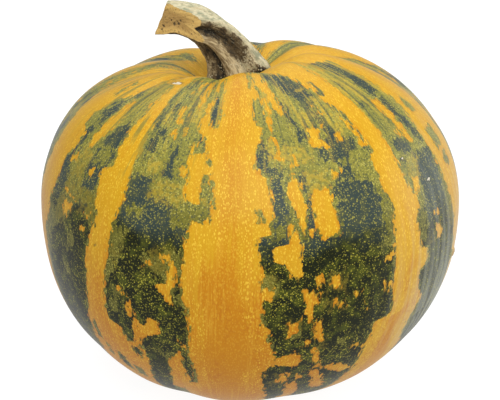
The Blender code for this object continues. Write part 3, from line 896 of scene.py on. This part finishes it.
def past_cut(points):
    """Metres past the cut, negative on the stalk's side: the greater of the two planes' distances."""
    return np.maximum((points - CUT_POINT) @ unit(SLANT_OUT), (points - CUT_POINT) @ unit(END_OUT))


def above_skin(points):
    """Metres above the fruit's skin, just where the stalk grows from it."""
    around = np.arctan2(points[..., 0], -points[..., 1])
    radius = np.hypot(points[..., 0], points[..., 1])
    reach = GIRTH_RADIUS * (1.0 + SIDE_SWELL * np.sin(around))
    sine = np.sqrt(1.0 - np.clip(radius / reach, 0.0, 1.0) ** (2.0 / GIRTH_ROUNDNESS))
    furrow = np.interp(np.degrees(np.arcsin(sine)), RIB_AT_ANGLE, RIB_DEPTH) * rib_valley(around)
    return points[..., 2] - skin_height(around, sine, radius) + furrow


def first_crossing(steps, values):
    """For each column of values, the step at which it first rises through zero."""
    index = np.argmax((values[:-1] <= 0.0) & (values[1:] > 0.0), axis=0) + 1
    column = np.arange(values.shape[1])
    low, high = values[index - 1, column], values[index, column]
    return steps[index - 1] + (steps[index] - steps[index - 1]) * low / (low - high)


# %% Where each fibre starts and ends
own = np.linspace(0.0, 360.0, FIBRES, endpoint=False)[None, :]
steps = np.linspace(0.0, len(track) - 1.0, 600)
trial = stalk_points(steps[:, None] + 0.0 * own, own + 0.0 * steps[:, None])
first_step = first_crossing(steps, above_skin(trial) + 0.0006)
last_step = first_crossing(steps, past_cut(trial))
print("fibres end at steps", last_step.min().round(1), "to", last_step.max().round(1))

# %% The side of the stalk, with its fibres
part = np.linspace(0.0, 1.0, STEPS)[:, None]
step = first_step[None, :] + (last_step - first_step)[None, :] * part
own_grid = own + 0.0 * part
twist = np.radians(own_grid) + 0.02 * step
fibre = np.sin(23 * twist + 1.2 * np.sin(0.7 * step)) + 0.8 * np.sin(41 * twist + 2 * np.sin(0.5 * step + 1))
fibre = fibre + 0.5 * np.sin(67 * twist + 3 * np.sin(0.9 * step + 2))
knots = np.sin(1.9 * step + 4 * np.sin(3 * twist)) * np.sin(7 * twist + 0.6 * step)
sink = 0.00011 * (fibre + 2.3) + 0.00012 * (knots + 1.0)
side = stalk_points(step, own_grid, sink)
print("the side has", STEPS, "rings of", FIBRES, "fibres")

# %% [markdown]
# The cut face isn't flat: the pith in its middle shrank and left holes, and the fibres around it
# stand a little proud. Rings drawn in from the edge towards a middle point are slid along the stalk
# until they lie on the cut, and then pushed in where the pith sank.

# %% The cut face
AWAY = unit(np.array([-1.0, -0.16, 0.0]))


def onto_cut(points):
    """Slides points along the stalk onto the nearer of the two planes of the cut."""
    slides = [(CUT_POINT - points) @ unit(out) / (AWAY @ unit(out)) for out in (SLANT_OUT, END_OUT)]
    return points + np.minimum(*slides)[..., None] * AWAY


rim = onto_cut(side[-1])
side[-1] = rim
inward = np.linspace(1.0, 0.0, 26)[1:-1, None, None]
middle = onto_cut(rim.mean(axis=0)[None, :])[0]
face = onto_cut(middle + (rim[None] - middle) * inward)
radial = inward[..., 0] + 0.0 * own
pith = 0.0006 * np.exp(-((radial / 0.55) ** 4)) + 0.00015 * np.sin(9 * np.radians(own) + 14 * radial) * radial
face = face - pith[..., None] * AWAY
stalk_rings = np.vstack([side, face])
offset = np.array([CORE, 0.0, -FLOOR])
start = side[0].mean(axis=0) - [0.0, 0.0, 0.002]
stalk_mesh = closed_mesh("dry_stalk", stalk_rings + offset, start + offset, middle - 0.0006 * AWAY + offset)
stalk_mesh.set_sharp_from_angle(angle=np.radians(38.0))
show("dry_stalk", stalk_mesh, "stem")

# %% How dark and how pale the stalk is, by where its ridges are and how near its foot is
face_step = last_step[None, :] + 0.0 * radial
all_step = np.vstack([step, face_step])
all_own = own + 0.0 * all_step
# Dirt and painted shade: the stalk is darker in its grooves and on some flanks
GROOVE_DIRT_AND_SHADE = (
    # degrees around the stalk, and how dark it is there
    (0, 0.6), (6, 0.2), (14, 0.0), (60, 0.1), (100, 0.0), (118, 0.2), (142, 0.6), (160, 0.2), (178, 0.3),
    (200, 0.8), (220, 0.6), (231, 0.45), (242, 0.7), (254, 1.1), (265, 1.3), (276, 0.8), (286, 0.1),
    (298, 0.0), (308, 0.3), (318, 0.9), (330, 1.25), (346, 1.1), (360, 0.6),
)
PALE_RIDGES = (
    (0, 0.5), (14, 1), (40, 1), (90, 1), (120, 0.6), (160, 0.2), (300, 0.1), (345, 0.1), (360, 0.5),
)
RIGHT_FLANK = ((0, 1.0), (14, 0.6), (300, 0.0), (318, 1.0), (360, 1.0))
DUSTY_SIDE = ((0, 0.9), (30, 0), (325, 0), (350, 1), (360, 0.9))
up_stalk = np.vstack([part + 0.0 * own, np.ones_like(face_step)])
near_foot = np.interp(up_stalk, (0.0, 0.22, 0.50), (1.0, 0.85, 0.0))
groove, pale, right_flank, dusty_side = (
    np.interp(all_own, *np.transpose(rows)) for rows in (GROOVE_DIRT_AND_SHADE, PALE_RIDGES, RIGHT_FLANK, DUSTY_SIDE)
)
groove = groove - 0.75 * near_foot * right_flank
dust_at_foot = np.exp(-((up_stalk / 0.09) ** 2)) * dusty_side
# Darker at the foot: dust on one side, and a band of painted shade all round where the stalk meets the fruit
groove = groove + 1.5 * dust_at_foot + 0.5 * np.exp(-((up_stalk / 0.03) ** 2))
pale = np.clip(pale + 0.45 * near_foot * right_flank, 0.0, 1.0)
print("the grooves' darkness runs from", groove.min().round(2), "to", groove.max().round(2))

# %% Keep these on the stalk, with its cut and the place along its fibres
cut = np.vstack([np.zeros_like(step), np.ones_like(face_step)])
across = np.vstack([np.ones_like(step), radial])
around = np.radians(all_own)
fibre_place = np.stack([np.sin(around) * 0.011, np.cos(around) * 0.011, all_step * 0.0026], axis=-1)
keep(stalk_mesh, "groove", groove, 0.5, 0.5)
keep(stalk_mesh, "pale_side", pale, 0.5, 0.5)
keep(stalk_mesh, "near_foot", near_foot, 1.0, 0.0)
keep(stalk_mesh, "cut_face", cut, 0.0, 1.0)
keep(stalk_mesh, "from_pith", across, 1.0, 0.0)
keep(stalk_mesh, "along_fibre", fibre_place, [0, 0, 0], [0, 0, 0.07])
print("the stalk keeps", len(stalk_mesh.attributes), "attributes")

# %% [markdown]
# ## The bark of the stalk
#
# Dry stalk is cork over fibre: cream where it is rubbed clean, green-grey where some life is left,
# and dark brown in the grooves, from dirt and painted shade, and at the foot, where dust and mould stay,
# with pale specks in it and a band of painted shade where it meets the fruit. The cut shows raw tan
# fibre and the pith, with a few holes painted dark as shade. One material does all of it, with
# masks that are kept on the mesh.

# %% Colours of the stalk
CREAM = (0.450, 0.400, 0.255, 1.0)
GREEN_GREY = (0.200, 0.205, 0.125, 1.0)
TAN = (0.340, 0.255, 0.130, 1.0)
FIBRE_BROWN = (0.150, 0.095, 0.038, 1.0)
DARK_BROWN = (0.060, 0.038, 0.014, 1.0)
BLACK_BROWN = (0.011, 0.008, 0.003, 1.0)
RAW_CUT = (0.480, 0.310, 0.095, 1.0)
PITH = (0.330, 0.200, 0.060, 1.0)
PITH_HOLES = (
    # where on the stalk, and how wide
    ((-0.0372, 0.0005, 0.0896), 0.0009), ((-0.0379, 0.0010, 0.0879), 0.0007),
    ((-0.0320, -0.0026, 0.0918), 0.0011), ((-0.0291, -0.0044, 0.0942), 0.0008),
    ((-0.0300, -0.0038, 0.0922), 0.0010), ((-0.0307, -0.0034, 0.0931), 0.0009),
    ((-0.0335, -0.0018, 0.0935), 0.0006),
)

# %% The bark
tree, surface = new_material("dry_ridged_stalk", stalk_mesh)
spot_place = tree.nodes.new("ShaderNodeTexCoord").outputs["Object"]
fibre_grain = drawn_out(kept("along_fibre", True), 0.16)
threads = cloudy(fibre_grain, 1500.0, 4.0)
patches = cloudy(spot_place, 300.0, 5.0)
mould = shaken(patches, threads, 0.6)
colour = over(rise(mould, 0.34, 0.60), GREEN_GREY, CREAM)
colour = over(rise(threads, 0.52, 0.66, 0.0, 0.6), colour, TAN)
flank = over(rise(threads, 0.38, 0.60), FIBRE_BROWN, TAN)
colour = over(kept("pale_side"), flank, colour)
# The grooves' darkness: dirt, and painted shade in the grooves
depth = shaken(kept("groove"), threads, 1.5)
depth = shaken(depth, patches, 2.1)
fine_dust = cloudy(spot_place, 1400.0, 2.0)
depth = shaken(depth, fine_dust, 0.9)
colour = over(rise(depth, 0.35, 0.85), colour, DARK_BROWN)
colour = over(rise(depth, 0.90, 1.40), colour, BLACK_BROWN)
specks = use(flecks, {"Place": spot_place, "Scale": 900.0, "Size": 0.36})
few = times(rise(kept("near_foot"), 0.0, 0.8, 0.15, 0.7), rise(patches, 0.4, 0.6))
colour = over(times(specks["Fleck"], few), colour, CREAM)
print("the bark is laid")

# %% The cut
raw = over(rise(kept("from_pith"), 0.35, 0.8), PITH, RAW_CUT)
grain = cloudy(spot_place, 900.0, 4.0)
raw = over(rise(grain, 0.56, 0.70, 0.0, 0.6), raw, DARK_BROWN)
# Painted shade stands in for the pith's holes, which the bump only dents
holes = None
for where, width in PITH_HOLES:
    centre = tuple(np.array(where) + offset)
    apart = node("ShaderNodeVectorMath", {0: spot_place, 1: centre}, operation="DISTANCE").outputs["Value"]
    hole = rise(shaken(apart, grain, 0.002), width * 0.3, width * 1.1, 0.95, 0.0)
    holes = hole if holes is None else sums("MAXIMUM", holes, hole)
raw = over(holes, raw, DARK_BROWN)
colour = over(kept("cut_face"), colour, raw)
bumps = sums("MULTIPLY_ADD", patches, 0.5, threads)
bumps = sums("MULTIPLY_ADD", holes, -1.5, bumps)
relief = node("ShaderNodeBump", {"Height": bumps, "Strength": 0.6, "Distance": 0.0008}).outputs[0]
fill(surface, {"Base Color": colour, "Roughness": 0.82, "Specular IOR Level": 0.3, "Normal": relief})
print("the bark has", len(tree.nodes), "nodes")

# %% [markdown]
# ## The floor and the light
#
# The fruit stands in a bright room, as for a catalogue. A floor that glows a little stays white right
# up to the fruit, as a lit sweep of paper does. A broad lamp above and in front does most of the work,
# one above and behind lights the shoulders, and a weak one lifts the right side.

# %% The floor
floor_mesh = bpy.data.meshes.new("floor")
corners = [(-3.0, -3.0, 0.0), (3.0, -3.0, 0.0), (3.0, 3.0, 0.0), (-3.0, 3.0, 0.0)]
floor_mesh.from_pydata(corners, [], [(0, 1, 2, 3)])
floor = bpy.data.objects.new("floor", floor_mesh)
bpy.context.scene.collection.objects.link(floor)
tree, surface = new_material("pale_floor", floor_mesh)
fill(surface, {"Base Color": (0.14, 0.14, 0.14, 1.0), "Roughness": 0.9, "Specular IOR Level": 0.0})
fill(surface, {"Emission Color": (1.0, 1.0, 1.0, 1.0), "Emission Strength": 0.93})
print("the floor is laid")

# %% The sky and the lamps
world = bpy.data.worlds.new("white_room")
world.use_nodes = True
world.node_tree.nodes["Background"].inputs["Color"].default_value = (0.45, 0.47, 0.50, 1.0)
bpy.context.scene.world = world
bpy.context.scene.view_settings.view_transform = "Standard"
LAMPS = (
    # name, place, aimed at, width, watts
    ("front_softbox", (0.08, -0.75, 0.95), (0.0, 0.0, 0.09), 1.1, 18.0),
    ("top_softbox", (-0.10, 0.50, 1.10), (0.0, 0.0, 0.10), 1.2, 9.0),
    ("side_softbox", (1.00, 0.18, 0.26), (0.06, 0.0, 0.06), 0.7, 4.8),
)
for name, place, aimed, width, watts in LAMPS:
    lamp = bpy.data.lights.new(name, "AREA")
    lamp.shape = "SQUARE"
    lamp.size = width
    lamp.energy = watts
    holder = bpy.data.objects.new(name, lamp)
    holder.location = place
    holder.rotation_euler = (Vector(aimed) - Vector(place)).to_track_quat("-Z", "Y").to_euler()
    bpy.context.scene.collection.objects.link(holder)
print(len(LAMPS), "lamps")

# %% [markdown]
# ## The camera
#
# The picture was taken from a little above, with the camera tipped a little to one side. The middle
# of the fruit's girth lies a little left of the picture's middle.

# %% The camera
TILT = np.radians(23.0)
ROLL = np.radians(1.7)
DISTANCE = 0.9
FOCAL_PIXELS = 1786.0
WIDTH, HEIGHT = 500.0, 400.0
GIRTH_AT = (235.2, 198.85)
camera_data = bpy.data.cameras.new("camera")
camera_data.sensor_width = 36.0
camera_data.lens = FOCAL_PIXELS / WIDTH * camera_data.sensor_width
camera_data.shift_x = (WIDTH / 2 - GIRTH_AT[0]) / WIDTH
camera_data.shift_y = -(HEIGHT / 2 - GIRTH_AT[1]) / WIDTH
camera = bpy.data.objects.new("camera", camera_data)
aim = Matrix.Rotation(np.pi / 2.0 - TILT, 4, "X") @ Matrix.Rotation(ROLL, 4, "Z")
place = Vector((CORE, 0.0, -FLOOR)) + DISTANCE * Vector((0.0, -np.cos(TILT), np.sin(TILT)))
camera.matrix_world = Matrix.Translation(place) @ aim
bpy.context.scene.collection.objects.link(camera)
bpy.context.scene.camera = camera
print("the camera is at", tuple(round(value, 3) for value in place))
